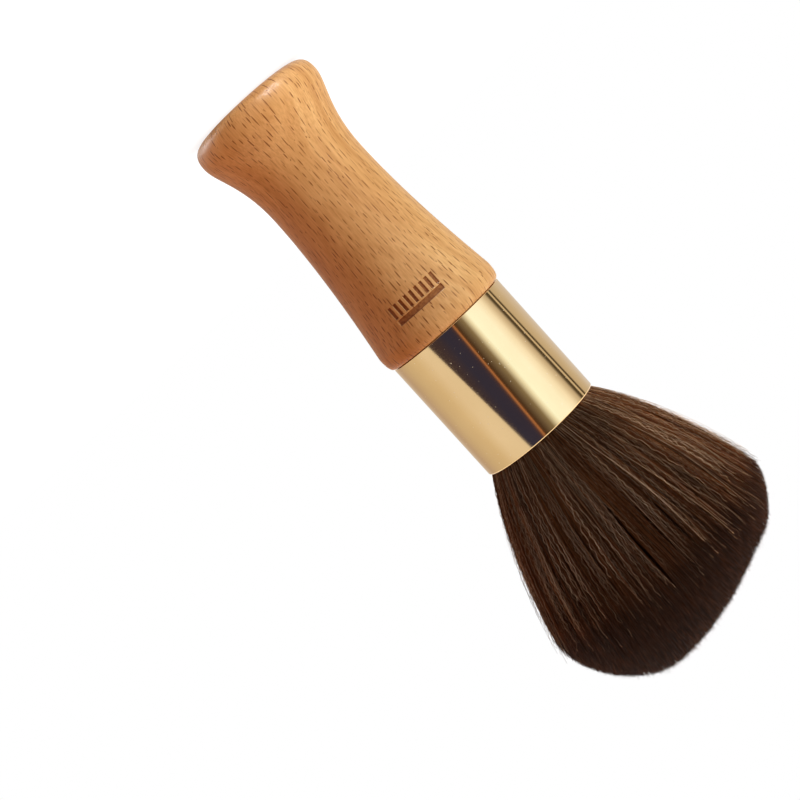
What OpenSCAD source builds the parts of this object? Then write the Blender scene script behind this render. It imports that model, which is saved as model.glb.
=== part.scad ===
// Neck duster brush: a turned beech handle, a gold-coloured aluminium ferrule glued
// over the handle's tenon, and a tied knot of fibres set in resin inside the ferrule.
// Millimetres. +Z runs from the knob's flat end to the fibre tips, and the origin is
// the centre of that flat end, which is what the brush stands on. The front is -Y.

/* [Handle] */
// Radius of the flat end that the brush stands on
foot_r = 11; // [9:0.5:13]
// Largest radius of the knob
knob_r = 18.5; // [17:0.1:20]
// Height of the knob's widest ring
knob_z = 5.2; // [4:0.1:7]
// Radius of the waist
waist_r = 14.2; // [12:0.1:16]
// Height of the waist
waist_z = 26; // [22:0.5:32]
// Largest radius of the shoulder below the ferrule
shoulder_r = 18.1; // [17.6:0.1:19]
// Height of the shoulder's widest ring
shoulder_z = 69; // [66:0.5:70]
// Height of the face that the ferrule seats on
seat_z = 73; // [72:0.5:78]

/* [Ferrule] */
// Outside radius of the ferrule
ferrule_r = 17; // [16.5:0.1:17.4]
// Length of the ferrule
ferrule_len = 35.5; // [32:0.5:42]
// Wall thickness of the ferrule
ferrule_wall = 0.6; // [0.5:0.1:0.9]
// Rounding of the ferrule's two outer rims
rim_round = 0.3; // [0.1:0.05:0.4]

/* [Tenon and glue] */
// Length of the handle's tenon inside the ferrule
tenon_len = 13; // [10:0.5:16]
// Glue gap between the tenon and the ferrule
glue_gap = 0.4; // [0.2:0.05:0.6]
// Number of glue grooves round the tenon
groove_count = 3; // [1:1:4]
// Depth of each glue groove
groove_depth = 0.5; // [0.3:0.1:0.8]
// Thickness of the resin under the fibre roots
resin_floor = 1.5; // [1:0.5:3]
// Height of the resin round the fibre roots
resin_wall_h = 9; // [8:0.5:12]

/* [Fibre knot] */
// Radius of the tied fibre roots
root_r = 15.2; // [14:0.1:15.6]
// Diameter of the binding thread
thread_d = 0.6; // [0.4:0.1:0.8]
// Turns of the binding thread
thread_turns = 5; // [3:1:6]
// Length of the fibres outside the ferrule
hair_len = 67.5; // [55:0.5:80]
// Radius of the splayed fibres at their widest ring
hair_r = 34; // [28:0.5:38]
// Height of the widest ring above the ferrule's mouth
hair_spread_h = 44; // [36:0.5:48]
// Length of the shorter filler fibres outside the ferrule
filler_len = 54; // [44:0.5:60]
// Radius of the filler's widest ring
filler_r = 25; // [18:0.5:28]

/* [Engraved comb mark] */
// Width of the comb
mark_w = 14; // [10:0.5:16]
// Height of the comb, spine and teeth together
mark_h = 5.2; // [4:0.1:6]
// Height of the comb's middle on the handle
mark_z = 62.8; // [58:0.1:64]
// Height of the comb's spine
spine_h = 1.5; // [1:0.1:2]
// Number of teeth
tooth_count = 9; // [5:1:12]
// Bridge of wood left between the spine and the teeth
bridge_h = 0.4; // [0.3:0.1:0.8]
// Depth of the engraving
mark_depth = 0.3; // [0.2:0.05:0.5]

/* [Hidden] */

$fn = 96;

bore_r = ferrule_r - ferrule_wall;
seat_r = ferrule_r - rim_round;
mouth_z = seat_z + ferrule_len;
tenon_r = bore_r - glue_gap;
tenon_top = seat_z + tenon_len;
tenon_chamfer = 0.8;
groove_w = 1.2;
groove_pitch = tenon_len / (groove_count + 1);
glue_start = seat_z + 0.6;

root_z = tenon_top + resin_floor;
resin_top = root_z + resin_wall_h;
thread_pitch = 1.04 * thread_d;
thread_seat = 0.05;
thread_z = root_z + 2;
thread_band_h = (thread_turns + 1) * thread_pitch;
bundle_r = bore_r - 0.1;

tip_z = mouth_z + hair_len;
spread_z = mouth_z + hair_spread_h;
filler_root_r = 0.6 * root_r;
filler_neck_r = 0.6 * bundle_r;
filler_tip_z = mouth_z + filler_len;
filler_spread_z = mouth_z + 0.66 * filler_len;

// Points of a cubic Bezier curve, without its first point
function curve(p0, p1, p2, p3, steps) =
    [for (i = [1 : steps])
        let (t = i / steps, u = 1 - t)
        u * u * u * p0 + 3 * u * u * t * p1 + 3 * u * t * t * p2 + t * t * t * p3];

// Points of a circular arc
function arc(centre, r, from, to, steps) =
    [for (i = [0 : steps])
        let (a = from + (to - from) * i / steps)
        centre + r * [cos(a), sin(a)]];

function reversed(points) = [for (i = [len(points) - 1 : -1 : 0]) points[i]];

// Right-hand outline of the grip, from the flat end up to the ferrule seat
function grip_side() = concat(
    [[foot_r, 0]],
    curve([foot_r, 0], [knob_r - 1.3, 0], [knob_r, 1.5], [knob_r, knob_z], 12),
    curve([knob_r, knob_z], [knob_r, knob_z + 4], [waist_r, knob_z + 9], [waist_r, waist_z], 18),
    curve([waist_r, waist_z], [waist_r, waist_z + 20],
          [shoulder_r, shoulder_z - 1], [shoulder_r, shoulder_z], 20),
    curve([shoulder_r, shoulder_z], [shoulder_r, shoulder_z + 2.6],
          [seat_r + 1, seat_z], [seat_r, seat_z], 10));

// One glue groove's four corners on the tenon's side
function groove(z) =
    [[tenon_r, z - groove_w / 2], [tenon_r - groove_depth, z - groove_w / 2],
     [tenon_r - groove_depth, z + groove_w / 2], [tenon_r, z + groove_w / 2]];

// Side of the tenon above a height, with its glue grooves and top chamfer
function tenon_side(from_z) = concat(
    [[tenon_r, from_z]],
    [for (i = [1 : groove_count]) for (p = groove(seat_z + i * groove_pitch)) p],
    [[tenon_r, tenon_top - tenon_chamfer], [tenon_r - tenon_chamfer, tenon_top]]);

// Outline of the shorter filler fibres, from their roots to their tip
function filler_side() = concat(
    [[filler_root_r, root_z], [filler_root_r, resin_top], [filler_neck_r, mouth_z]],
    curve([filler_neck_r, mouth_z], [filler_neck_r + 4, mouth_z + 8],
          [filler_r, filler_spread_z - 10], [filler_r, filler_spread_z], 12),
    curve([filler_r, filler_spread_z], [filler_r, filler_spread_z + 10],
          [filler_r / 2, filler_tip_z], [0, filler_tip_z], 12));

// Outline of the whole fibre knot: thread groove, neck, splayed cone and dome
function knot_side() = concat(
    [[root_r, root_z],
     [root_r, thread_z],
     [root_r - thread_d - thread_seat, thread_z],
     [root_r - thread_d - thread_seat, thread_z + thread_band_h],
     [root_r, thread_z + thread_band_h],
     [root_r, resin_top],
     [bundle_r, resin_top + 3],
     [bundle_r, mouth_z]],
    curve([bundle_r, mouth_z], [bundle_r + 5, mouth_z + 7],
          [hair_r - 1.5, spread_z - 7], [hair_r, spread_z], 16),
    curve([hair_r, spread_z], [hair_r, spread_z + 10],
          [0.6 * hair_r, tip_z], [0, tip_z], 16));

// The grip without its tenon, its side moved in by a given depth
module grip_solid(inset) {
    rotate_extrude()
        polygon(concat([[0, 0]], [for (p = grip_side()) [p[0] - inset, p[1]]], [[0, seat_z]]));
}

// One bar of the engraving, cut down to a floor that follows the handle's own curve
module engraved_bar(left, bottom, width, height) {
    difference() {
        translate([left, -shoulder_r - 1, bottom])
            cube([width, shoulder_r / 2, height]);
        grip_solid(mark_depth);
    }
}

// The handle is engraved with a comb pictogram, spine up and teeth down
module handle() {
    tooth_pitch = mark_w / (tooth_count - 0.5);
    tooth_h = mark_h - spine_h - bridge_h;
    mark_bottom = mark_z - mark_h / 2;
    color("burlywood")
        difference() {
            rotate_extrude()
                polygon(concat([[0, 0]], grip_side(), tenon_side(seat_z), [[0, tenon_top]]));
            engraved_bar(-mark_w / 2, mark_bottom + mark_h - spine_h, mark_w, spine_h);
            for (i = [0 : tooth_count - 1])
                engraved_bar(-mark_w / 2 + i * tooth_pitch, mark_bottom, tooth_pitch / 2, tooth_h);
        }
}

module ferrule() {
    low_rim = arc([ferrule_r - rim_round, seat_z + rim_round], rim_round, -90, 0, 6);
    high_rim = arc([ferrule_r - rim_round, mouth_z - rim_round], rim_round, 0, 90, 6);
    color("gold")
        rotate_extrude()
            polygon(concat([[bore_r, seat_z]], low_rim, high_rim, [[bore_r, mouth_z]]));
}

module tenon_adhesive() {
    color("khaki")
        rotate_extrude()
            polygon(concat([[bore_r, tenon_top], [bore_r, glue_start]], tenon_side(glue_start)));
}

module root_resin() {
    color("goldenrod")
        rotate_extrude()
            polygon([[0, tenon_top], [bore_r, tenon_top], [bore_r, resin_top],
                     [root_r, resin_top], [root_r, root_z], [0, root_z]]);
}

// A helix of round thread, closed at both ends
module binding_thread() {
    sides = 8;
    rings_per_turn = 32;
    rings = thread_turns * rings_per_turn;
    wind_r = root_r - thread_d / 2;
    points = [
        for (i = [0 : rings])
            let (a = 360 * i / rings_per_turn,
                 z = thread_z + thread_pitch * (0.5 + i / rings_per_turn))
            for (j = [0 : sides - 1])
                let (b = 360 * j / sides, r = wind_r + thread_d / 2 * cos(b))
                [r * cos(a), r * sin(a), z + thread_d / 2 * sin(b)]];
    walls = [
        for (i = [0 : rings - 1])
            for (j = [0 : sides - 1])
                let (k = (j + 1) % sides)
                [i * sides + j, i * sides + k, (i + 1) * sides + k, (i + 1) * sides + j]];
    start_cap = [for (j = [sides - 1 : -1 : 0]) j];
    end_cap = [for (j = [0 : sides - 1]) rings * sides + j];
    color("ivory")
        polyhedron(points, concat(walls, [start_cap, end_cap]));
}

module filler_fibres() {
    color("tan")
        rotate_extrude()
            polygon(concat([[0, root_z]], filler_side()));
}

module tip_fibres() {
    color("saddlebrown")
        rotate_extrude()
            polygon(concat(knot_side(), reversed(filler_side())));
}

handle();
ferrule();
tenon_adhesive();
root_resin();
binding_thread();
filler_fibres();
tip_fibres();
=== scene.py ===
import math

import bpy
import numpy as np
from mathutils import Matrix, Vector


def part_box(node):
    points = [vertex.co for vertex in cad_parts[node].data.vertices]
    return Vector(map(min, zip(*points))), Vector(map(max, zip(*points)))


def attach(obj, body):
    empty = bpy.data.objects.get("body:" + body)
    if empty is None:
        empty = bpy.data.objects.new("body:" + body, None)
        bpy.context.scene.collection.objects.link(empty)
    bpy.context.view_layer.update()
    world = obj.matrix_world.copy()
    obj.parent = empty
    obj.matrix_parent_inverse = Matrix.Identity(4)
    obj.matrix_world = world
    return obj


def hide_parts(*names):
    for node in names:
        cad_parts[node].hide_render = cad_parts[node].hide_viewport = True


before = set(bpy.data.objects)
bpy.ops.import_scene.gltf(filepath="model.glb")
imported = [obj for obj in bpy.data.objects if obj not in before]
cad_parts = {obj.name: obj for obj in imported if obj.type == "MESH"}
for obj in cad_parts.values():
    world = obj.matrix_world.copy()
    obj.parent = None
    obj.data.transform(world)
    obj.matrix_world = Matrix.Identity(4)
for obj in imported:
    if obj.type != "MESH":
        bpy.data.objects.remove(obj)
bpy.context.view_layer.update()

# Everything is in metres, in the CAD frame: the brush stands on its knob, with +Z up its axis
# and its engraved front towards -Y. Lengths below are written in millimetres and scaled by MM.
MM = 0.001
FERRULE_LOW, FERRULE_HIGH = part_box("ferrule")
SEAT_Z = FERRULE_LOW.z
MOUTH_Z = FERRULE_HIGH.z
FERRULE_R = FERRULE_HIGH.x
HAIR_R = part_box("tip_fibres")[1].x
TIP_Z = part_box("tip_fibres")[1].z


# ---------------------------------------------------------------- camera, lights and floor

# Heights in the studio are the upward part of a unit direction: 0 is level, and 1 is overhead.
WALLS_TOP = 0.17
CAMERA_SIDE = math.radians(-4.0)


def make_camera():
    """The photograph's camera: close to the floor, looking up a little and rolled far over."""
    distance = 463 * MM
    height = 41 * MM
    azimuth = math.radians(-4.1)
    yaw = math.radians(2.6)
    pitch = math.radians(4.76)
    roll = math.radians(137.68)
    data = bpy.data.cameras.new("camera")
    data.lens = 84.0
    data.sensor_width = 36.0
    data.clip_start = 0.01
    camera = bpy.data.objects.new("camera", data)
    bpy.context.scene.collection.objects.link(camera)
    camera.matrix_world = (
        Matrix.Rotation(azimuth, 4, "Z")
        @ Matrix.Translation((0, -distance, height))
        @ Matrix.Rotation(-yaw, 4, "Z")
        @ Matrix.Rotation(math.pi / 2 + pitch, 4, "X")
        @ Matrix.Rotation(roll, 4, "Z")
    )
    bpy.context.scene.camera = camera


def add(tree, kind, inputs=None, **settings):
    """A new node with its settings, and its inputs given as values or as sockets to link."""
    made = tree.nodes.new(kind)
    for key, value in settings.items():
        setattr(made, key, value)
    for key, value in (inputs or {}).items():
        if isinstance(value, bpy.types.NodeSocket):
            tree.links.new(value, made.inputs[key])
        else:
            made.inputs[key].default_value = value
    return made


def calc(tree, operation, first, second=0.0, third=0.0):
    """One Math node's result."""
    made = add(tree, "ShaderNodeMath", {0: first, 1: second, 2: third}, operation=operation)
    return made.outputs[0]


def vector_calc(tree, operation, first, second=(0.0, 0.0, 0.0)):
    """One Vector Math node."""
    return add(tree, "ShaderNodeVectorMath", {0: first, 1: second}, operation=operation)


def ramp(tree, factor, stops):
    """A colour ramp over (position, colour) stops."""
    made = add(tree, "ShaderNodeValToRGB", {"Fac": factor})
    elements = made.color_ramp.elements
    while len(elements) < len(stops):
        elements.new(1.0)
    for element, (position, colour) in zip(elements, stops):
        element.position = position
        element.color = (*colour, 1.0)
    return made.outputs["Color"]


def mix_colour(tree, factor, first, second, blend="MIX"):
    """One Mix Color node's result."""
    made = tree.nodes.new("ShaderNodeMix")
    made.data_type = "RGBA"
    made.blend_type = blend
    for index, value in ((0, factor), (6, first), (7, second)):
        if isinstance(value, bpy.types.NodeSocket):
            tree.links.new(value, made.inputs[index])
        else:
            made.inputs[index].default_value = value
    return made.outputs[2]


def wall_colour(tree, turn, bands):
    """A ramp round the studio, over (degrees from the camera's side, colour) bands."""
    return ramp(tree, turn, [(degrees / 360 + 0.5, colour) for degrees, colour in bands])


def blend_over(tree, value, start, stop):
    """Rises from 0 to 1 as value goes from start to stop."""
    return add(tree, "ShaderNodeMapRange", {"Value": value, 1: start, 2: stop}).outputs[0]


def between(tree, share, low, high):
    """Runs from low to high as share goes from 0 to 1."""
    return calc(tree, "MULTIPLY_ADD", share, high - low, low)


def turn_round(tree, place):
    """Angle round the brush from the camera's side, from 0 to 1, with that side at 0.5."""
    axes = add(tree, "ShaderNodeSeparateXYZ", {0: place}).outputs
    angle = calc(tree, "ARCTAN2", axes["X"], calc(tree, "MULTIPLY", axes["Y"], -1.0))
    return calc(tree, "MULTIPLY_ADD", angle, 1 / math.tau, 0.5 - CAMERA_SIDE / math.tau)


def low_walls(tree, turn, up):
    """The colour of the low walls that the ferrule mirrors, at a turn and a height.

    The walls on the left lean, most of all at the front, and the dark flag in front of the
    brush has a slanting right edge.
    """
    slit = (0.10, 0.09, 0.07)
    flag = (0.043, 0.046, 0.125)
    left_walls = [
        (-178, (0.75, 0.68, 0.57)),
        (-138, (0.76, 0.78, 0.80)),
        (-111, (0.66, 0.66, 0.62)),
        (-109, slit),
        (-105, slit),
        (-104, (0.80, 0.80, 0.76)),
        (-101, (0.80, 0.80, 0.76)),
        (-100, slit),
        (-95, slit),
        (-90, (0.66, 0.68, 0.70)),
        (-84, (0.84, 0.90, 0.98)),
        (-74, (1.16, 1.36, 1.63)),
        (-61, (1.26, 1.62, 2.10)),
        (-38, (1.26, 1.72, 2.25)),
        (-33, (1.05, 1.28, 1.50)),
        (-24, (0.29, 0.28, 0.23)),
        (-17, (0.18, 0.16, 0.14)),
        (-10, (0.08, 0.055, 0.04)),
        (-7, (0.10, 0.055, 0.035)),
        (-5.5, (0.64, 0.32, 0.18)),
        (-4.5, (0.50, 0.26, 0.15)),
        (-2, (0.075, 0.052, 0.085)),
        (3, flag),
        (18, (0.040, 0.046, 0.130)),
        (36, (0.062, 0.052, 0.090)),
        (60, (0.075, 0.058, 0.075)),
    ]
    right_walls = [
        (0, (0.90, 0.94, 1.00)),
        (50, (0.94, 0.99, 1.05)),
        (64, (0.94, 0.98, 1.04)),
        (85, (0.83, 0.82, 0.76)),
        (112, (0.73, 0.71, 0.65)),
        (138, (0.59, 0.53, 0.49)),
        (178, (0.75, 0.68, 0.57)),
    ]
    bottom = 0.03
    middle = 0.1
    front_lean = 0.33
    lean_growth = 1.9
    flag_slant = -0.56
    flag_edge = 0.5 + 41.5 / 360
    edge_softness = 0.001
    height = calc(tree, "MINIMUM", calc(tree, "MAXIMUM", up, bottom), WALLS_TOP)
    below_middle = calc(tree, "MULTIPLY_ADD", height, -1.0, middle)
    lean = calc(tree, "MULTIPLY_ADD", turn, lean_growth, front_lean - lean_growth / 2)
    leaning = calc(tree, "MULTIPLY_ADD", lean, below_middle, turn)
    left = wall_colour(tree, leaning, left_walls)
    right = wall_colour(tree, turn, right_walls)
    slanted = calc(tree, "MULTIPLY_ADD", below_middle, flag_slant, turn)
    past_flag = blend_over(tree, slanted, flag_edge - edge_softness, flag_edge + edge_softness)
    return mix_colour(tree, past_flag, left, right)


def make_world():
    """White behind the brush, and a studio of softboxes and flags round it for the light.

    Angles go round the brush from the camera's side, in degrees: negative to the left of a
    viewer who faces the front. Matt surfaces take part of their light from the soft bands,
    which are warm on the right, and the rest from the walls and the lamps.
    """
    sky_bands = [
        (-178, (1.60, 1.55, 1.50)),
        (-130, (1.40, 1.40, 1.40)),
        (-60, (1.60, 1.70, 1.80)),
        (-20, (0.50, 0.50, 0.50)),
        (60, (0.30, 0.28, 0.26)),
        (120, (1.20, 1.15, 1.10)),
        (178, (1.60, 1.55, 1.50)),
    ]
    soft_bands = [
        (-178, (0.60, 0.55, 0.50)),
        (-90, (0.90, 0.85, 0.80)),
        (-30, (0.70, 0.55, 0.45)),
        (10, (0.44, 0.12, 0.02)),
        (80, (0.54, 0.07, 0.00)),
        (120, (0.50, 0.13, 0.02)),
        (178, (0.60, 0.55, 0.50)),
    ]
    ceiling = (2, 2, 2, 1)
    soft_top = (0.8, 0.7, 0.6, 1)
    walls_to_sky = (WALLS_TOP, 0.27)
    sky_to_ceiling = (0.4, 0.5)
    soft_to_top = (0.8, 0.9)
    world = bpy.data.worlds.new("studio")
    bpy.context.scene.world = world
    world.use_nodes = True
    tree = world.node_tree
    tree.nodes.clear()
    direction = add(tree, "ShaderNodeTexCoord").outputs["Generated"]
    up = add(tree, "ShaderNodeSeparateXYZ", {0: direction}).outputs["Z"]
    turn = turn_round(tree, direction)
    walls = low_walls(tree, turn, up)
    sky = wall_colour(tree, turn, sky_bands)
    studio = mix_colour(tree, blend_over(tree, up, *walls_to_sky), walls, sky)
    studio = mix_colour(tree, blend_over(tree, up, *sky_to_ceiling), studio, ceiling)
    soft = wall_colour(tree, turn, soft_bands)
    soft = mix_colour(tree, blend_over(tree, up, *soft_to_top), soft, soft_top)
    ray = add(tree, "ShaderNodeLightPath").outputs
    studio = mix_colour(tree, ray["Is Diffuse Ray"], studio, soft)
    light = add(tree, "ShaderNodeBackground", {"Color": studio, "Strength": 1.0})
    white = add(tree, "ShaderNodeBackground", {"Color": (1, 1, 1, 1), "Strength": 1.0})
    both = add(tree, "ShaderNodeMixShader", {0: ray["Is Camera Ray"], 1: light.outputs[0],
                                             2: white.outputs[0]})
    add(tree, "ShaderNodeOutputWorld", {"Surface": both.outputs[0]})


def area_lamp(name, side, power, colour, aim, distance, raised, size, lit):
    """A square area lamp that faces a height on the brush and lights only the pieces in lit.

    side is the angle round the brush from its front, in degrees, as for the studio's walls.
    """
    data = bpy.data.lights.new(name, "AREA")
    data.size = size
    data.energy = power
    data.color = colour
    light = bpy.data.objects.new(name, data)
    bpy.context.scene.collection.objects.link(light)
    turn = math.radians(side)
    beam = Vector((distance * math.sin(turn), -distance * math.cos(turn), raised))
    light.location = beam + Vector((0, 0, aim))
    light.rotation_euler = (-beam).to_track_quat("-Z", "Y").to_euler()
    light.light_linking.receiver_collection = lit
    return light


def add_softbox(name, side, power, colour, aim, lit, distance=600 * MM, raised=120 * MM):
    """A softbox that isn't mirrored, beside the brush and a little raised unless told otherwise."""
    light = area_lamp(name, side, power, colour, aim, distance, raised, size=200 * MM, lit=lit)
    light.visible_glossy = False


def add_sheen(name, side, power, lit):
    """A low light from under the floor that shows only as gloss along the knob's lower edge."""
    light = area_lamp(name, side, power, colour=(1, 1, 1), aim=8 * MM, distance=200 * MM,
                      raised=-150 * MM, size=130 * MM, lit=lit)
    light.visible_diffuse = False
    light.light_linking.blocker_collection = lit


def lit_group(name, pieces):
    """A collection of the pieces that some lamps light."""
    group = bpy.data.collections.new(name)
    for piece in pieces:
        group.objects.link(piece)
    return group


def make_floor():
    """A plain pale floor that runs into the white behind.

    It lights the brush only from a small pool under it. Mirrored, it shows bright cards and
    dark flags near the brush, which shape the metal when it is seen from above, and runs into
    the low walls further out.
    """
    mirrored_bands = [
        (-178, (0.95, 0.95, 0.95)),
        (-150, (1.05, 1.10, 1.15)),
        (-128, (0.30, 0.28, 0.27)),
        (-118, (0.12, 0.11, 0.11)),
        (-108, (0.75, 0.75, 0.75)),
        (-60, (1.25, 1.35, 1.50)),
        (-25, (0.90, 0.90, 0.90)),
        (0, (0.80, 0.80, 0.80)),
        (22, (0.16, 0.15, 0.17)),
        (44, (0.13, 0.13, 0.15)),
        (50, (0.85, 0.85, 0.88)),
        (105, (1.00, 0.98, 0.94)),
        (130, (0.50, 0.47, 0.44)),
        (140, (0.18, 0.16, 0.15)),
        (152, (0.80, 0.78, 0.75)),
        (178, (0.95, 0.95, 0.95)),
    ]
    half = 2.5
    pool_centre = (-10 * MM, -30 * MM, 0)
    pool_edge = (50 * MM, 15 * MM)
    pool_light = 0.7
    seen_light = 0.85
    cards_to_walls = (0.5, 1.2)
    mesh = bpy.data.meshes.new("floor")
    corners = [(-half, -half, 0), (half, -half, 0), (half, half, 0), (-half, half, 0)]
    mesh.from_pydata(corners, [], [(0, 1, 2, 3)])
    floor = bpy.data.objects.new("floor", mesh)
    bpy.context.scene.collection.objects.link(floor)
    material, tree, surface = new_material("floor")
    surface.inputs["Base Color"].default_value = (0.18, 0.18, 0.18, 1)
    surface.inputs["Roughness"].default_value = 0.9
    place = object_place(tree)
    aside = vector_calc(tree, "SUBTRACT", place, pool_centre).outputs[0]
    distance = vector_calc(tree, "LENGTH", aside).outputs["Value"]
    pool = calc(tree, "MULTIPLY", blend_over(tree, distance, *pool_edge), pool_light)
    ray = add(tree, "ShaderNodeLightPath").outputs
    glow = add(tree, "ShaderNodeMix", {0: ray["Is Camera Ray"], 2: pool, 3: seen_light}).outputs[0]
    glow = add(tree, "ShaderNodeMix", {0: ray["Is Glossy Ray"], 2: glow, 3: 1.0}).outputs[0]
    turn = turn_round(tree, place)
    mirrored = wall_colour(tree, turn, mirrored_bands)
    walls = low_walls(tree, turn, 0.0)
    mirrored = mix_colour(tree, blend_over(tree, distance, *cards_to_walls), mirrored, walls)
    colour = mix_colour(tree, ray["Is Glossy Ray"], (1, 1, 1, 1), mirrored)
    tree.links.new(colour, surface.inputs["Emission Color"])
    tree.links.new(glow, surface.inputs["Emission Strength"])
    mesh.materials.append(material)


# ---------------------------------------------------------------- materials

def new_material(name):
    """A material with its node tree and its Principled shader."""
    material = bpy.data.materials.new(name)
    material.use_nodes = True
    tree = material.node_tree
    return material, tree, tree.nodes["Principled BSDF"]


def object_place(tree):
    """The place on an object, in its own coordinates."""
    return add(tree, "ShaderNodeTexCoord").outputs["Object"]


def noise(tree, place, scale, detail=2.0, roughness=0.5):
    """Noise over place, with its own scale along each axis, as turns per metre."""
    scaled = vector_calc(tree, "MULTIPLY", place, scale).outputs[0]
    made = add(tree, "ShaderNodeTexNoise", {"Vector": scaled, "Scale": 1.0, "Detail": detail,
                                            "Roughness": roughness})
    return made.outputs["Fac"]


def ray_flecks(tree, place):
    """Beech's ray flecks: short dark dashes along the grain, spread evenly round the handle.

    There is one dash in each cell of a Voronoi pattern, with a length and strength of its own.
    """
    around = 1.9 * MM
    along = 3.0 * MM
    half_width = 0.16 * MM
    half_length = 1.5 * MM
    shortening = (1.6, 0.7)
    strength = (0.35, 1.1)
    soft_edge = (1.2, 0.5)
    handle_r = 16 * MM
    flat = vector_calc(tree, "MULTIPLY", place, (1, 1, 0)).outputs[0]
    outward = vector_calc(tree, "NORMALIZE", flat).outputs[0]
    sideways = vector_calc(tree, "CROSS_PRODUCT", (0, 0, 1), outward).outputs[0]
    upright = vector_calc(tree, "MULTIPLY", place, (0, 0, 1 / along)).outputs[0]
    ring = vector_calc(tree, "MULTIPLY", outward, (handle_r / around, handle_r / around, 0))
    sheet = vector_calc(tree, "ADD", ring.outputs[0], upright).outputs[0]
    cell = add(tree, "ShaderNodeTexVoronoi", {"Vector": sheet, "Scale": 1.0})
    offset = vector_calc(tree, "SUBTRACT", sheet, cell.outputs["Position"]).outputs[0]
    chance = add(tree, "ShaderNodeSeparateColor", {0: cell.outputs["Color"]}).outputs
    across = vector_calc(tree, "DOT_PRODUCT", offset, sideways).outputs["Value"]
    across = calc(tree, "ABSOLUTE", calc(tree, "MULTIPLY", across, around / half_width))
    up = add(tree, "ShaderNodeSeparateXYZ", {0: offset}).outputs["Z"]
    shortened = between(tree, chance[0], *shortening)
    up = calc(tree, "MULTIPLY", calc(tree, "MULTIPLY", up, along / half_length), shortened)
    shape = calc(tree, "ADD", across, calc(tree, "MULTIPLY", up, up))
    dash = blend_over(tree, shape, *soft_edge)
    return calc(tree, "MULTIPLY", dash, between(tree, chance[1], *strength))


def growth_rings(tree, place):
    """Growth rings of uneven width round a pith well behind the handle, and a little askew."""
    pith = (10 * MM, -60 * MM, 0)
    askew = (0.09, 0.05, 0)
    tree_place = add(tree, "ShaderNodeMapping", {"Vector": place, "Location": pith,
                                                 "Rotation": askew}).outputs[0]
    flat = vector_calc(tree, "MULTIPLY", tree_place, (1, 1, 0)).outputs[0]
    distance = vector_calc(tree, "LENGTH", flat).outputs["Value"]
    up = add(tree, "ShaderNodeSeparateXYZ", {0: place}).outputs["Z"]
    ring_place = add(tree, "ShaderNodeCombineXYZ", {"X": distance, "Z": up}).outputs[0]
    return noise(tree, ring_place, (420, 1, 14), 3.0, 0.55)


def beech():
    """Lacquered beech: warm grain along the handle, ray flecks, and the burnt comb mark."""
    material, tree, surface = new_material("beech")
    place = object_place(tree)
    bands = growth_rings(tree, place)
    blotches = noise(tree, place, (60, 60, 30), 2.0)
    streaks = noise(tree, place, (2400, 2400, 70), 3.0, 0.6)
    wood = ramp(tree, bands, [(0.32, (0.54, 0.240, 0.071)), (0.5, (0.65, 0.315, 0.103)),
                              (0.68, (0.74, 0.390, 0.139))])
    warm = ramp(tree, blotches, [(0.3, (0.93, 0.86, 0.78)), (0.7, (1.05, 1.06, 1.08))])
    wood = mix_colour(tree, 1.0, wood, warm, "MULTIPLY")
    fine = ramp(tree, streaks, [(0.3, (0.84, 0.79, 0.70)), (0.65, (1.05, 1.06, 1.06))])
    wood = mix_colour(tree, 1.0, wood, fine, "MULTIPLY")
    flecks = ray_flecks(tree, place)
    wood = mix_colour(tree, calc(tree, "MULTIPLY", flecks, 0.92), wood, (0.21, 0.060, 0.013, 1))
    burn = add(tree, "ShaderNodeAttribute", attribute_name="burn").outputs["Fac"]
    scorch = noise(tree, place, (1500, 1500, 1500), 2.0)
    burnt = ramp(tree, scorch, [(0.3, (0.21, 0.058, 0.011)), (0.7, (0.36, 0.125, 0.030))])
    wood = mix_colour(tree, burn, wood, burnt)
    tree.links.new(wood, surface.inputs["Base Color"])
    matt = between(tree, streaks, 0.38, 0.54)
    matt = calc(tree, "MULTIPLY_ADD", burn, 0.3, matt)
    tree.links.new(matt, surface.inputs["Roughness"])
    relief = calc(tree, "MULTIPLY_ADD", flecks, -0.8, streaks)
    bump = add(tree, "ShaderNodeBump", {"Height": relief, "Strength": 0.35, "Distance": 0.05 * MM})
    tree.links.new(bump.outputs[0], surface.inputs["Normal"])
    surface.inputs["Specular IOR Level"].default_value = 0.06
    surface.inputs["Coat Weight"].default_value = 0.1
    surface.inputs["Coat Roughness"].default_value = 0.15
    return material


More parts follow.
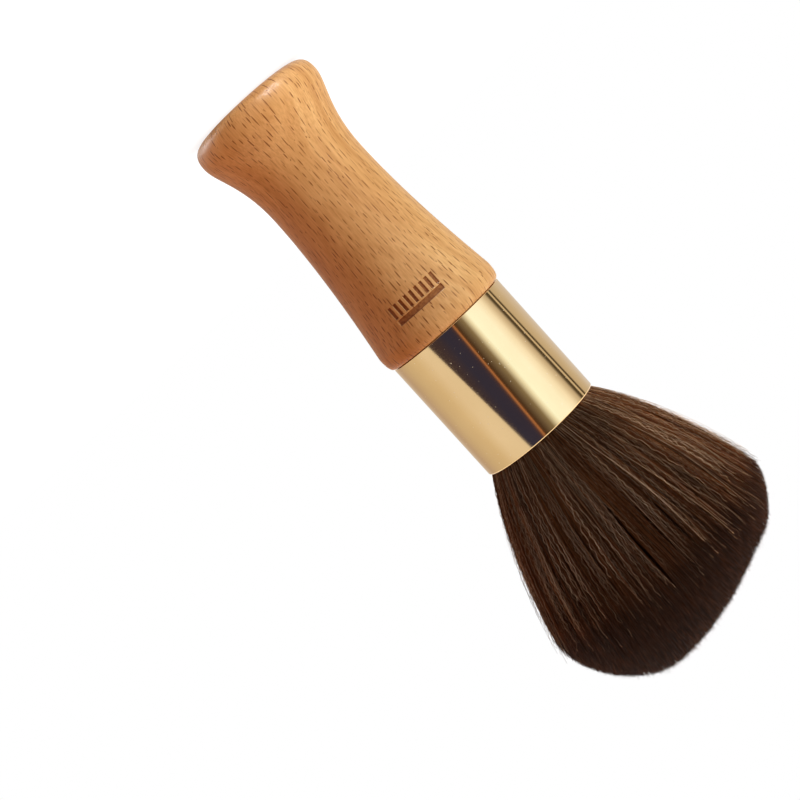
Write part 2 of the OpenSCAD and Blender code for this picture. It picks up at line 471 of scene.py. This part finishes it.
def gold_aluminium():
    """Polished gold-anodised tube: faint turning lines, soft wear and a few specks of dust."""
    material, tree, surface = new_material("gold_aluminium")
    place = object_place(tree)
    wear = noise(tree, place, (160, 160, 90), 4.0)
    turning = noise(tree, place, (40, 40, 9000), 1.0)
    gold = ramp(tree, wear, [(0.35, (0.79, 0.520, 0.245)), (0.65, (0.82, 0.545, 0.262))])
    grit = vector_calc(tree, "MULTIPLY", place, (900, 900, 900)).outputs[0]
    cell = add(tree, "ShaderNodeTexVoronoi", {"Vector": grit, "Scale": 1.0})
    near = blend_over(tree, cell.outputs["Distance"], 0.13, 0.05)
    chosen = add(tree, "ShaderNodeSeparateColor", {0: cell.outputs["Color"]}).outputs[0]
    dust = calc(tree, "MULTIPLY", near, calc(tree, "GREATER_THAN", chosen, 0.6))
    gold = mix_colour(tree, calc(tree, "MULTIPLY", dust, 0.6), gold, (0.9, 0.8, 0.6, 1))
    tree.links.new(gold, surface.inputs["Base Color"])
    surface.inputs["Metallic"].default_value = 1.0
    matt = between(tree, wear, 0.035, 0.085)
    matt = calc(tree, "MULTIPLY_ADD", dust, 0.4, matt)
    tree.links.new(matt, surface.inputs["Roughness"])
    bump = add(tree, "ShaderNodeBump", {"Height": turning, "Strength": 0.04,
                                        "Distance": 0.01 * MM})
    tree.links.new(bump.outputs[0], surface.inputs["Normal"])
    return material


def mottled(name, dark, light, scale, roughness, bump_height, transmission=0.0, specular=0.5):
    """A material of the inside: two tones of one colour in soft patches, with a little relief."""
    material, tree, surface = new_material(name)
    place = object_place(tree)
    patches = noise(tree, place, (scale, scale, scale), 4.0)
    colour = ramp(tree, patches, [(0.35, dark), (0.65, light)])
    tree.links.new(colour, surface.inputs["Base Color"])
    surface.inputs["Roughness"].default_value = roughness
    surface.inputs["Transmission Weight"].default_value = transmission
    surface.inputs["Specular IOR Level"].default_value = specular
    bump = add(tree, "ShaderNodeBump", {"Height": patches, "Strength": 0.5,
                                        "Distance": bump_height})
    tree.links.new(bump.outputs[0], surface.inputs["Normal"])
    return material


def fibre_material(name, along, tones, roughness):
    """Fibres coloured by their UV map: V runs from root to tip, and U is each fibre's own tone."""
    material, tree, surface = new_material(name)
    uv = add(tree, "ShaderNodeUVMap", uv_map="OFBake").outputs[0]
    axes = add(tree, "ShaderNodeSeparateXYZ", {0: uv}).outputs
    length_colour = ramp(tree, axes["Y"], along)
    tone = ramp(tree, axes["X"], tones)
    colour = mix_colour(tree, 1.0, length_colour, tone, "MULTIPLY")
    tree.links.new(colour, surface.inputs["Base Color"])
    surface.inputs["Roughness"].default_value = roughness
    surface.inputs["Specular IOR Level"].default_value = 0.07
    return material


def dark_fibres():
    """Dark brown fibres, lighter in the middle of their length, with almost black tips that are
    painted shade of the dome, which faces away from the light.
    """
    along = [
        (0.0, (0.066, 0.026, 0.0095)),
        (0.3, (0.097, 0.037, 0.0137)),
        (0.7, (0.078, 0.029, 0.0108)),
        (0.87, (0.067, 0.0258, 0.0110)),
        # The last two stops are painted shade: they darken the dome that the tips make, which faces
        # away from the light.
        (0.96, (0.020, 0.0074, 0.0033)),
        (1.0, (0.018, 0.0066, 0.0030)),
    ]
    tones = [(0.0, (0.20, 0.18, 0.17)), (0.5, (0.95, 0.93, 0.92)), (1.0, (2.5, 2.4, 2.2))]
    return fibre_material("dark_fibre", along, tones, 0.5)


def pale_fibres():
    """Pale greyish brown fibres, some of them almost as dark as the others."""
    along = [(0.0, (0.37, 0.265, 0.18)), (0.6, (0.50, 0.375, 0.275)), (1.0, (0.28, 0.195, 0.13))]
    tones = [(0.0, (0.20, 0.18, 0.16)), (0.6, (0.80, 0.78, 0.76)), (1.0, (2.0, 2.0, 2.0))]
    return fibre_material("pale_fibre", along, tones, 0.4)


def fringe_fibres():
    """The finest dark tips, darkened as painted shade of the dome, whose warmer brown ends are a
    painted rim light.
    """
    # The dark middle stop is painted shade, and the warm last stop is a painted rim light along the
    # dome's edge.
    along = [(0.0, (0.05, 0.019, 0.007)), (0.96, (0.021, 0.0078, 0.0034)),
             (0.985, (0.072, 0.027, 0.0090))]
    tones = [(0.0, (0.45, 0.42, 0.40)), (1.0, (1.4, 1.4, 1.4))]
    return fibre_material("fringe_fibre", along, tones, 0.5)


def shaded_core():
    """The middle of the knot, painted almost black as painted shade deep among the fibres."""
    return mottled("fibre_core", (0.020, 0.008, 0.004), (0.045, 0.018, 0.008), scale=1500,
                   roughness=0.8, bump_height=0.2 * MM, specular=0.0)


def paint_hidden_nodes():
    """Glue, resin and thread for the CAD pieces inside the ferrule."""
    hidden = {
        "tenon_adhesive": mottled("glue", (0.62, 0.52, 0.34), (0.74, 0.66, 0.48), scale=300,
                                  roughness=0.5, bump_height=0.05 * MM),
        "root_resin": mottled("resin", (0.50, 0.30, 0.08), (0.66, 0.44, 0.15), scale=180,
                              roughness=0.15, bump_height=0.03 * MM, transmission=0.3),
        "binding_thread": mottled("thread", (0.60, 0.56, 0.46), (0.80, 0.77, 0.68), scale=2500,
                                  roughness=0.85, bump_height=0.08 * MM),
    }
    for node, material in hidden.items():
        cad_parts[node].data.materials.clear()
        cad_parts[node].data.materials.append(material)


# ---------------------------------------------------------------- handle and ferrule

def mesh_piece(name, points, faces, material, node_names):
    """A smooth mesh object that rides on the brush and stands for CAD nodes."""
    mesh = bpy.data.meshes.new(name)
    mesh.from_pydata([tuple(p) for p in points], [], faces)
    mesh.polygons.foreach_set("use_smooth", [True] * len(mesh.polygons))
    mesh.materials.append(material)
    mesh.validate()
    piece = bpy.data.objects.new(name, mesh)
    bpy.context.scene.collection.objects.link(piece)
    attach(piece, "root")
    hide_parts(*node_names)
    return piece


def cad_outline(node):
    """A turned CAD node's side outline, bottom to top, as rows of radius and height.

    Only the back half is read, which has no engraving. Where a level has several radii, the
    one nearest the last point comes first.
    """
    least_gap = 0.05
    vertices = [v.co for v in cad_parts[node].data.vertices if v.co.y > MM]
    levels = {}
    for v in vertices:
        radii = levels.setdefault(round(v.z / MM, 3), set())
        radii.add(round(math.hypot(v.x, v.y) / MM, 2))
    outline = []
    for z in sorted(levels):
        radii = sorted(levels[z])
        apart = [r for i, r in enumerate(radii) if i == 0 or r - radii[i - 1] > least_gap]
        if outline and abs(apart[0] - outline[-1][0]) > abs(apart[-1] - outline[-1][0]):
            apart.reverse()
        outline += [(r, z) for r in apart]
    return np.array(outline) * MM


def smoothed(points, steps):
    """Extra points between the given ones, on a Catmull-Rom curve through them."""
    before = np.vstack([2 * points[0] - points[1], points[:-2], points[-2:-1]])[:len(points) - 1]
    after = np.vstack([points[2:], 2 * points[-1] - points[-2]])
    a, b = points[:-1], points[1:]
    rows = []
    for t in np.arange(steps) / steps:
        rows.append(0.5 * (2 * a + (b - before) * t
                           + (2 * before - 5 * a + 4 * b - after) * t**2
                           + (3 * a - before - 3 * b + after) * t**3))
    curve = np.stack(rows, 1).reshape(-1, points.shape[1])
    return np.vstack([curve, points[-1:]])


def points_round(radii, angles, heights):
    """Points of a grid round the axis, by radius, angle from the front, and height."""
    r, turn, z = np.broadcast_arrays(radii, angles, heights)
    return np.stack([r * np.sin(turn), -r * np.cos(turn), z], 2).reshape(-1, 3)


def ring_faces(rows, columns):
    """Quads of a grid of rows that closes round on itself."""
    faces = []
    for i in range(rows - 1):
        for j in range(columns):
            k = (j + 1) % columns
            faces.append((i * columns + j, i * columns + k, (i + 1) * columns + k,
                          (i + 1) * columns + j))
    return faces


# The comb mark, as in the CAD
MARK_W = 14 * MM
MARK_H = 5.2 * MM
MARK_Z = 62.8 * MM
MARK_DEPTH = 0.3 * MM
SPINE_H = 1.5 * MM
BRIDGE_H = 0.4 * MM
TOOTH_COUNT = 9


def comb_edges():
    """The comb's tooth sides across, and its tooth and spine ends up the handle."""
    pitch = MARK_W / (TOOTH_COUNT - 0.5)
    left = -MARK_W / 2
    across = [(left + i * pitch, left + (i + 0.5) * pitch) for i in range(TOOTH_COUNT)]
    bottom = MARK_Z - MARK_H / 2
    top = MARK_Z + MARK_H / 2
    teeth = (bottom, top - SPINE_H - BRIDGE_H)
    spine = (top - SPINE_H, top)
    return across, teeth, spine


def stations(edges, low, high, step):
    """Grid places from low to high: close to each side of each edge, and evenly between."""
    close = [-0.13 * MM, -0.05 * MM, 0.05 * MM, 0.13 * MM]
    clear = 0.2 * MM
    near = [edge + gap for edge in edges for gap in close]
    even = np.arange(low, high, step)
    even = [x for x in even if min(abs(x - edge) for edge in edges) > clear]
    return np.array(sorted(near + even))


def handle_side(mark_low, mark_high, edges):
    """The handle's side, foot to tenon, with close rows at the mark, and its smooth grip alone."""
    near_axis = 0.4 * MM
    row_step = 0.4 * MM
    clear = 0.05 * MM
    tolerance = 0.01 * MM
    outline = cad_outline("handle")
    seat_row = int(np.argmax(outline[:, 1] >= SEAT_Z - tolerance))
    grip = smoothed(outline[:seat_row + 1], 3)
    mark_rows = stations(edges, mark_low, mark_high, row_step)
    mark_radii = np.interp(mark_rows, grip[:, 1], grip[:, 0])
    below = grip[grip[:, 1] < mark_rows[0] - clear]
    above = grip[grip[:, 1] > mark_rows[-1] + clear]
    foot = [[near_axis, 0]]
    top = [[near_axis, outline[-1, 1]]]
    side = np.vstack([foot, below, np.column_stack([mark_radii, mark_rows]), above,
                      outline[seat_row + 1:], top])
    return side, grip


def handle_angles(reach, mark_x):
    """Angles round the handle at each row: straight lines at the mark, even steps elsewhere."""
    plain_columns = 200
    mark_angles = np.arcsin(mark_x[None, :] / reach[:, None])
    share = (np.arange(plain_columns) + 1) / (plain_columns + 1)
    start = mark_angles[:, -1:]
    stop = mark_angles[:, :1] + math.tau
    return np.hstack([mark_angles, start + (stop - start) * share[None, :]])


def comb_cut(heights, mark_x, columns):
    """Which points of the handle's grid are at the bottom of the engraved comb."""
    across, teeth, spine = comb_edges()
    in_tooth = np.array([any(a < x < b for a, b in across) for x in mark_x])
    in_comb = np.abs(mark_x) < MARK_W / 2
    tooth_row = (heights > teeth[0]) & (heights < teeth[1])
    spine_row = (heights > spine[0]) & (heights < spine[1])
    cut = np.zeros((len(heights), columns), bool)
    cut[:, :len(mark_x)] = (tooth_row[:, None] & in_tooth) | (spine_row[:, None] & in_comb)
    return cut


def make_handle(material):
    """The turned handle with its engraved comb, and its tenon inside the ferrule."""
    margin = 0.6 * MM
    column_step = 0.3 * MM
    across, teeth, spine = comb_edges()
    mark_low = teeth[0] - margin
    mark_high = spine[1] + margin
    side, grip = handle_side(mark_low, mark_high, [*teeth, *spine])
    radii, heights = side[:, 0], side[:, 1]
    reach = np.interp(np.clip(heights, mark_low, mark_high), grip[:, 1], grip[:, 0])
    sides = [edge for pair in across for edge in pair]
    mark_x = stations(sides, -MARK_W / 2 - margin, MARK_W / 2 + margin, column_step)
    angles = handle_angles(reach, mark_x)
    rows, columns = angles.shape
    cut = comb_cut(heights, mark_x, columns)
    grid = points_round(radii[:, None] - MARK_DEPTH * cut, angles, heights[:, None])
    points = np.vstack([grid, [[0, 0, 0]], [[0, 0, heights[-1]]]])
    faces = ring_faces(rows, columns)
    foot, top = rows * columns, rows * columns + 1
    for j in range(columns):
        k = (j + 1) % columns
        faces.append((k, j, foot))
        faces.append(((rows - 1) * columns + j, (rows - 1) * columns + k, top))
    piece = mesh_piece("handle_wood", points, faces, material, ["handle"])
    burn = piece.data.attributes.new("burn", "FLOAT", "POINT")
    burn.data.foreach_set("value", np.append(cut.reshape(-1), [0, 0]).astype(np.float32))
    return piece


def rounded(size):
    """Points of a rounded edge, as outward and upward steps from its inner end."""
    turn = np.linspace(0, math.pi / 2, 9)
    return size * np.column_stack([np.sin(turn), 1 - np.cos(turn)])


def make_ferrule(material):
    """The ferrule's tube, with a rounded lip and heel, and a fine open joint below it."""
    columns = 256
    lip = 0.36 * MM
    heel = 0.12 * MM
    joint = 0.2 * MM
    edge = 0.04 * MM
    bore_lip = 0.1 * MM
    bore = min(math.hypot(v.co.x, v.co.y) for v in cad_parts["ferrule"].data.vertices)
    low = rounded(heel) + [FERRULE_R - heel, SEAT_Z + joint]
    high = rounded(lip)[::-1] * [1, -1] + [FERRULE_R - lip, MOUTH_Z]
    wall_z = np.linspace(low[-1, 1] + edge, high[0, 1] - edge, 32)
    wall = np.column_stack([np.full(len(wall_z), FERRULE_R), wall_z])
    inside = np.array([[bore, MOUTH_Z - bore_lip], [bore, SEAT_Z + joint]])
    side = np.vstack([low, wall, high, inside])
    angles = np.arange(columns) * math.tau / columns
    points = points_round(side[:, 0:1], angles, side[:, 1:2])
    faces = [tuple(v % len(points) for v in face) for face in ring_faces(len(side) + 1, columns)]
    return mesh_piece("ferrule_tube", points, faces, material, ["ferrule"])


# ---------------------------------------------------------------- fibres

rng = np.random.default_rng(20)
SPREAD_Z = max(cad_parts["tip_fibres"].data.vertices, key=lambda v: v.co.xy.length).co.z
BUNDLE_R = FERRULE_R - 0.8 * MM
RIM_R = HAIR_R + 0.4 * MM
RIM_Z = SPREAD_Z - 1.5 * MM
RIM_RISE = 1.2 * MM
LEFT_SPREAD = 0.35 * MM
RIGHT_SPREAD = -0.75 * MM
FLARE_POWER = 0.95
FLARE_LEAD = 0.35
DOME_APEX = np.array([14.8, 0.0]) * MM
# A larger crown power makes the dome flatter on top, and a smaller edge power steeper at the rim
CROWN_POWER = 1.49
EDGE_POWER = 0.56
SHOULDER_X = -26.8 * MM
SHOULDER_W = 5.4 * MM
SHOULDER_LIFT = 1.4 * MM
# The front cleft comes first, and the other partings are faint
FAINT_PARTINGS = 14
PARTINGS = np.append(math.radians(-92.2), rng.uniform(0, math.tau, FAINT_PARTINGS))
PARTING_PUSH = np.radians(np.append(1.0, np.full(FAINT_PARTINGS, 0.4)))
PARTING_W = np.radians(np.append(1.8, np.full(FAINT_PARTINGS, 3.0)))
# Columns of the fibres' colour map, one for each tone
TONES = 64


def dome_height(xy):
    """Height of the domed tip above a place.

    Its top is off the axis, as the hair is swept to the right, and it is fuller at its left
    shoulder.
    """
    from_apex = xy - DOME_APEX
    along = from_apex @ DOME_APEX
    gap = np.maximum((from_apex**2).sum(1), 1e-12)
    room = RIM_R**2 - (DOME_APEX**2).sum()
    to_rim = (-along + np.sqrt(along**2 + gap * room)) / gap
    share = np.clip(1 / to_rim, 0, 1)
    rim_z = RIM_Z + RIM_RISE * xy[:, 0] / RIM_R
    shoulder = SHOULDER_LIFT * np.exp(-((xy[:, 0] - SHOULDER_X) / SHOULDER_W)**2)
    return rim_z + (TIP_Z - rim_z) * (1 - share**CROWN_POWER) ** EDGE_POWER + shoulder


def parting_turn(angle):
    """How far round the axis fibres are pushed by the partings, which open clefts between locks."""
    gap = (angle[:, None] - PARTINGS[None, :] + math.pi) % math.tau - math.pi
    moves = PARTING_PUSH * np.sign(gap) * np.exp(-np.abs(gap) / PARTING_W)
    return moves.sum(1)


def flare(places):
    """How far the fibres have splayed at a place along them: fast at first, slower to the rim."""
    return places**FLARE_POWER * (1 + FLARE_LEAD - FLARE_LEAD * places)


def fibre_paths(share, angle, length_share, steps, sway, scatter):
    """Centre lines of fibres: straight up inside the ferrule, then splayed out to the dome.

    share is each fibre's place from the axis (0) to the outside (1), and length_share how much
    of the way to the dome it reaches. sway turns the tips round the axis, and scatter makes
    them uneven in height. The stations are closer near the root, where the fibres bend most,
    and the partings are widest two thirds of the way up.
    """
    root_depth = 4 * MM
    station_power = 1.3
    opening_power = 1.7
    count = len(share)
    outward = np.column_stack([np.cos(angle), np.sin(angle)])
    root = np.minimum(share, 1)[:, None] * BUNDLE_R * outward
    turned = angle + rng.normal(0, sway, count)
    tip = (share * RIM_R)[:, None] * np.column_stack([np.cos(turned), np.sin(turned)])
    tip_z = dome_height(tip) + rng.normal(0, scatter, count)
    spread = np.where(tip[:, 0] < 0, LEFT_SPREAD, RIGHT_SPREAD)
    tip[:, 0] += spread * tip[:, 0] / RIM_R
    t = np.linspace(0, 1, steps) ** station_power
    s = t[None, :] * length_share[:, None]
    xy = root[:, None, :] + (tip - root)[:, None, :] * flare(s)[:, :, None]
    aside = np.column_stack([-np.sin(turned), np.cos(turned)]) * parting_turn(turned)[:, None]
    opening = HAIR_R * np.sin(math.pi * s**opening_power)
    xy += opening[:, :, None] * aside[:, None, :]
    z = MOUTH_Z + (tip_z - MOUTH_Z)[:, None] * s
    body = np.dstack([xy, z])
    start = np.dstack([root[:, None, :], np.full((count, 1), MOUTH_Z - root_depth)])
    return np.concatenate([start, body], 1), np.hstack([np.zeros((count, 1)), s])


def waved(paths, places, amplitude, waves):
    """Paths with a sideways and a radial wave of their own, which grow in the first fifth."""
    full_swing = 0.2
    count = len(places)
    outward = paths[:, -1, :2] / np.maximum(np.linalg.norm(paths[:, -1, :2], axis=1), 1e-9)[:, None]
    sideways = np.column_stack([-outward[:, 1], outward[:, 0]])
    grow = np.clip(places / full_swing, 0, 1)
    for direction in (sideways, outward):
        phase = rng.uniform(0, math.tau, (count, 1))
        swing = amplitude[:, None] * grow * np.sin(phase + math.tau * waves[:, None] * places)
        paths[:, :, :2] += swing[:, :, None] * direction[:, None, :]
    return paths


def fibre_points(paths, radii):
    """Three points round each station of each path."""
    chord = paths[:, -1] - paths[:, 0]
    chord /= np.linalg.norm(chord, axis=1)[:, None]
    first = np.cross(chord, rng.normal(size=chord.shape))
    first /= np.linalg.norm(first, axis=1)[:, None]
    second = np.cross(chord, first)
    corners = np.arange(3) * math.tau / 3
    offsets = (np.cos(corners)[None, None, :, None] * first[:, None, None, :]
               + np.sin(corners)[None, None, :, None] * second[:, None, None, :])
    return paths[:, :, None, :] + radii[:, :, None, None] * offsets


def fibre_faces(count, steps):
    """The side quads and the end triangles of count three-sided tubes."""
    i = np.arange(count)[:, None, None] * steps * 3
    k = np.arange(steps - 1)[None, :, None] * 3
    j = np.arange(3)[None, None, :]
    n = (j + 1) % 3
    quads = np.stack([i + k + j, i + k + n, i + k + 3 + n, i + k + 3 + j], -1).reshape(-1, 4)
    base = np.arange(count)[:, None] * steps * 3
    caps = np.vstack([base + [2, 1, 0], base + (steps - 1) * 3 + [0, 1, 2]])
    return quads, caps


def fibre_uv(places, tones):
    """A map for the colours: each fibre's tone across, in columns, and its length upwards.

    The end triangles have small places of their own at the bottom and at the fibre's top.
    """
    side_margin = 0.1
    end_margin = 0.01
    cap_height = 0.004
    count, steps = places.shape
    column = np.floor(tones * TONES).clip(0, TONES - 1)
    side_u = np.array([[0, 1, 1, 0], [1, 2, 2, 1], [2, 3, 3, 2]]) / 3
    u = column[:, None, None, None] + side_margin + (1 - 2 * side_margin) * side_u[None, None]
    u = np.broadcast_to(u, (count, steps - 1, 3, 4)) / TONES
    up = end_margin + (1 - 2 * end_margin) * places
    v = np.stack([up[:, :-1], up[:, :-1], up[:, 1:], up[:, 1:]], -1)
    v = np.broadcast_to(v[:, :, None, :], u.shape)
    cap_u = (column[:, None] + np.array([0.2, 0.5, 0.8])[None, :]) / TONES
    low_v = np.full((count, 3), end_margin) + cap_height * np.array([0, 1, 0])
    high_v = up[:, -1:] - cap_height * np.array([[1, 0, 1]])
    corners = [np.stack([u, v], -1), np.stack([cap_u, low_v], -1), np.stack([cap_u, high_v], -1)]
    return np.concatenate([part.reshape(-1, 2) for part in corners])


def fibre_mesh(name, paths, places, radii, tones, material, slot, node):
    """Fibres as one smooth mesh of closed three-sided tubes that stands for a CAD node."""
    quads, caps = fibre_faces(*places.shape)
    loops = np.concatenate([quads.reshape(-1), caps.reshape(-1)]).astype(np.int32)
    starts = np.concatenate([np.arange(len(quads)) * 4, len(quads) * 4 + np.arange(len(caps)) * 3])
    mesh = bpy.data.meshes.new(name)
    mesh.vertices.add(places.size * 3)
    mesh.vertices.foreach_set("co", fibre_points(paths, radii).reshape(-1).astype(np.float32))
    mesh.loops.add(len(loops))
    mesh.loops.foreach_set("vertex_index", loops)
    mesh.polygons.add(len(starts))
    mesh.polygons.foreach_set("loop_start", starts.astype(np.int32))
    mesh.polygons.foreach_set("use_smooth", np.ones(len(starts), bool))
    mesh.update(calc_edges=True)
    layer = mesh.uv_layers.new(name="OFBake")
    layer.uv.foreach_set("vector", fibre_uv(places, tones).reshape(-1).astype(np.float32))
    mesh.materials.append(material)
    piece = bpy.data.objects.new(name, mesh)
    bpy.context.scene.collection.objects.link(piece)
    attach(piece, "root")
    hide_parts(node)
    return piece


def fibre_pieces(name, count, angle, *fibres):
    """Fibres split into several pieces, one for each sector round the brush.

    fibres are what fibre_mesh takes after its name, with a row of each array for each fibre.
    """
    *arrays, material, slot, node = fibres
    sector = ((angle % math.tau) * count / math.tau).astype(int)
    pieces = []
    for number in range(count):
        chosen = np.flatnonzero(sector == number)
        picked = [array[chosen] for array in arrays]
        pieces.append(fibre_mesh(f"{name}_{number + 1}", *picked, material, slot, node))
    return pieces


def tapered(places, thinnest, thickest):
    """Radii of fibres that are even for most of their length and run out to fine tips."""
    taper_start = 0.78
    tip_share = 0.35
    run_out = np.clip((places - taper_start) / (1 - taper_start), 0, 1)
    return rng.uniform(thinnest, thickest, (len(places), 1)) * (1 - (1 - tip_share) * run_out)


def lock_tones(angle):
    """Each fibre's tone, part its own and part shared with its neighbours in a thin lock."""
    locks = 460
    shared = 0.6
    lock = ((angle % math.tau) * locks / math.tau).astype(int)
    of_lock = rng.beta(1.2, 1.5, locks)[lock]
    return shared * of_lock + (1 - shared) * rng.beta(1.6, 2.0, len(angle))


def packed(count, inner, outer):
    """Places of fibres packed evenly between two shares of the bundle's radius."""
    golden_turn = math.pi * (3 - math.sqrt(5))
    number = np.arange(count) + rng.uniform(0, 1, count)
    share = np.sqrt(inner**2 + (outer**2 - inner**2) * number / count)
    return share, np.arange(count) * golden_turn


def make_outer_fibres(material):
    """The long dark fibres that are seen along their whole length."""
    count = 13000
    share, angle = packed(count, 0.81, 1.0)
    paths, places = fibre_paths(share, angle, np.ones(count), steps=8, sway=0.02,
                                scatter=0.25 * MM)
    paths = waved(paths, places, rng.gamma(2.0, 0.09 * MM, count), rng.uniform(0.5, 1.8, count))
    radii = tapered(places, 0.065 * MM, 0.095 * MM)
    return fibre_pieces("tip_fibres", 4, angle, paths, places, radii, lock_tones(angle),
                        material, "dark_fibre", "tip_fibres")


def make_dome_fibres(material):
    """The ends of the inner fibres, which fill the dome behind the outer ones, darkened as painted
    shade of the dome.
    """
    count = 15000
    share, angle = packed(count, 0.0, 0.84)
    ends = slice(-5, None)
    # Painted shade: the dome's fibres are darkened because the dome faces away from the light.
    painted_dome_shade = 0.58
    paths, places = fibre_paths(share, angle, np.ones(count), steps=12, sway=0.008,
                                scatter=0.3 * MM)
    paths, places = paths[:, ends], places[:, ends]
    radii = tapered(places, 0.08 * MM, 0.12 * MM)
    tones = painted_dome_shade * lock_tones(angle)
    return fibre_pieces("dome_fibres", 3, angle, paths, places, radii, tones,
                        material, "dark_fibre", "tip_fibres")


def make_fringe_fibres(material):
    """The finest tips, which stand a little out of the dome and soften its edge."""
    count = 3600
    share, angle = packed(count, 0.0, 1.0)
    ends = slice(-3, None)
    taper = [[1.0, 0.9, 0.5]]
    reach = rng.uniform(1.002, 1.018, count)
    paths, places = fibre_paths(share, angle, reach, steps=24, sway=0.03, scatter=0.25 * MM)
    paths, places = paths[:, ends], places[:, ends]
    radii = rng.uniform(0.028 * MM, 0.042 * MM, (count, 1)) * taper
    return fibre_pieces("fringe_fibres", 1, angle, paths, places, radii, lock_tones(angle),
                        material, "dark_fibre", "tip_fibres")


def make_filler_fibres(material):
    """The shorter, paler fibres, crimped in small waves, that lie among the outer ones."""
    count = 760
    wave_sizes = [(0.1, 0.5), (0.03, 0.2), (0.08, 0.22)]
    wave_counts = [(0.4, 1.4), (8, 13), (16, 22)]
    share = np.sqrt(rng.uniform(0.92, 1.03, count))
    angle = (np.arange(count) + rng.uniform(0, 1, count)) * math.tau / count
    reach = rng.uniform(0.72, 1.03, count)
    paths, places = fibre_paths(share, angle, reach, steps=96, sway=0.08, scatter=0.5 * MM)
    for size, waves in zip(wave_sizes, wave_counts):
        paths = waved(paths, places, rng.uniform(*size, count) * MM, rng.uniform(*waves, count))
    radii = np.repeat(rng.uniform(0.026, 0.040, (count, 1)) * MM, places.shape[1], 1)
    return fibre_pieces("filler_fibres", 3, angle, paths, places, radii, rng.beta(1.5, 2.1, count),
                        material, "pale_fibre", "filler_fibres")


def make_stray_fibres(material):
    """A few fine fibres that stand clear of the sides and the rim."""
    count = 100
    share = rng.uniform(0.98, 1.025, count)
    angle = rng.uniform(0, math.tau, count)
    reach = rng.uniform(0.93, 1.07, count)
    paths, places = fibre_paths(share, angle, reach, steps=24, sway=0.05, scatter=0.5 * MM)
    paths = waved(paths, places, rng.uniform(0.2, 0.7, count) * MM, rng.uniform(0.6, 2.2, count))
    radii = np.repeat(rng.uniform(0.025, 0.04, (count, 1)) * MM, places.shape[1], 1)
    return fibre_pieces("stray_fibres", 1, angle, paths, places, radii, rng.beta(1.6, 2.0, count),
                        material, "pale_fibre", "filler_fibres")


def make_core(material):
    """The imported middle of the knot, where no single fibre can be seen.

    It starts a little inside the ferrule, and ends as deep below the dome.
    """
    rows, columns = 24, 96
    share = 0.86
    depth = 3 * MM
    flutes = 31
    flute_depth = 0.012
    flute_twist = 3
    angles = np.arange(columns) * math.tau / columns
    flat = np.column_stack([np.cos(angles), np.sin(angles)])
    bottom = MOUTH_Z - depth
    rings = []
    for s in np.linspace(0, 1, rows):
        r = (BUNDLE_R + (RIM_R - BUNDLE_R) * flare(s)) * share
        z = bottom + (dome_height(flat * share * RIM_R) - depth - bottom) * s
        fluted = r * (1 + flute_depth * np.sin(flutes * angles + flute_twist * s))
        rings.append(np.column_stack([flat * fluted[:, None], z]))
    for inner in (0.8, 0.6, 0.4, 0.2, 0.05):
        disc = flat * share * RIM_R * inner
        rings.append(np.column_stack([disc, dome_height(disc) - depth]))
    points = np.vstack(rings)
    faces = ring_faces(len(rings), columns)
    faces.append(tuple(range(columns))[::-1])
    last = (len(rings) - 1) * columns
    faces.append(tuple(range(last, last + columns)))
    return mesh_piece("fibre_core", points, faces, material, ["filler_fibres"])


# ---------------------------------------------------------------- the scene

make_camera()
make_world()
make_floor()

handle = make_handle(beech())
make_ferrule(gold_aluminium())
paint_hidden_nodes()
# The core is painted shade: a dark piece where the middle of the knot lies in shade.
make_core(shaded_core())
dark = dark_fibres()
pale = pale_fibres()
hair = [
    *make_outer_fibres(dark),
    *make_dome_fibres(dark),
    *make_fringe_fibres(fringe_fibres()),
    *make_filler_fibres(pale),
    *make_stray_fibres(pale),
]

lit_wood = lit_group("lit_wood", [handle])
lit_hair = lit_group("lit_hair", hair)
hair_middle = 140 * MM
add_softbox("wood_key", -64, 4.5, (0.54, 0.75, 1.0), 30 * MM, lit_wood)
add_sheen("knob_sheen_left", -50, 3.6, lit_wood)
add_sheen("knob_sheen_right", 118, 1.0, lit_wood)
add_softbox("hair_key", -30, 1.5, (0.92, 0.94, 0.90), hair_middle, lit_hair)
add_softbox("hair_left_rim", -112, 11.5, (1.0, 0.77, 0.54), hair_middle, lit_hair)
add_softbox("hair_right_rim", 120, 3.6, (1.0, 0.62, 0.34), hair_middle, lit_hair)
add_softbox("hair_top", 180, 4.0, (1.0, 0.90, 0.80), hair_middle, lit_hair,
            distance=200 * MM, raised=600 * MM)

bpy.context.scene.view_settings.view_transform = "Standard"
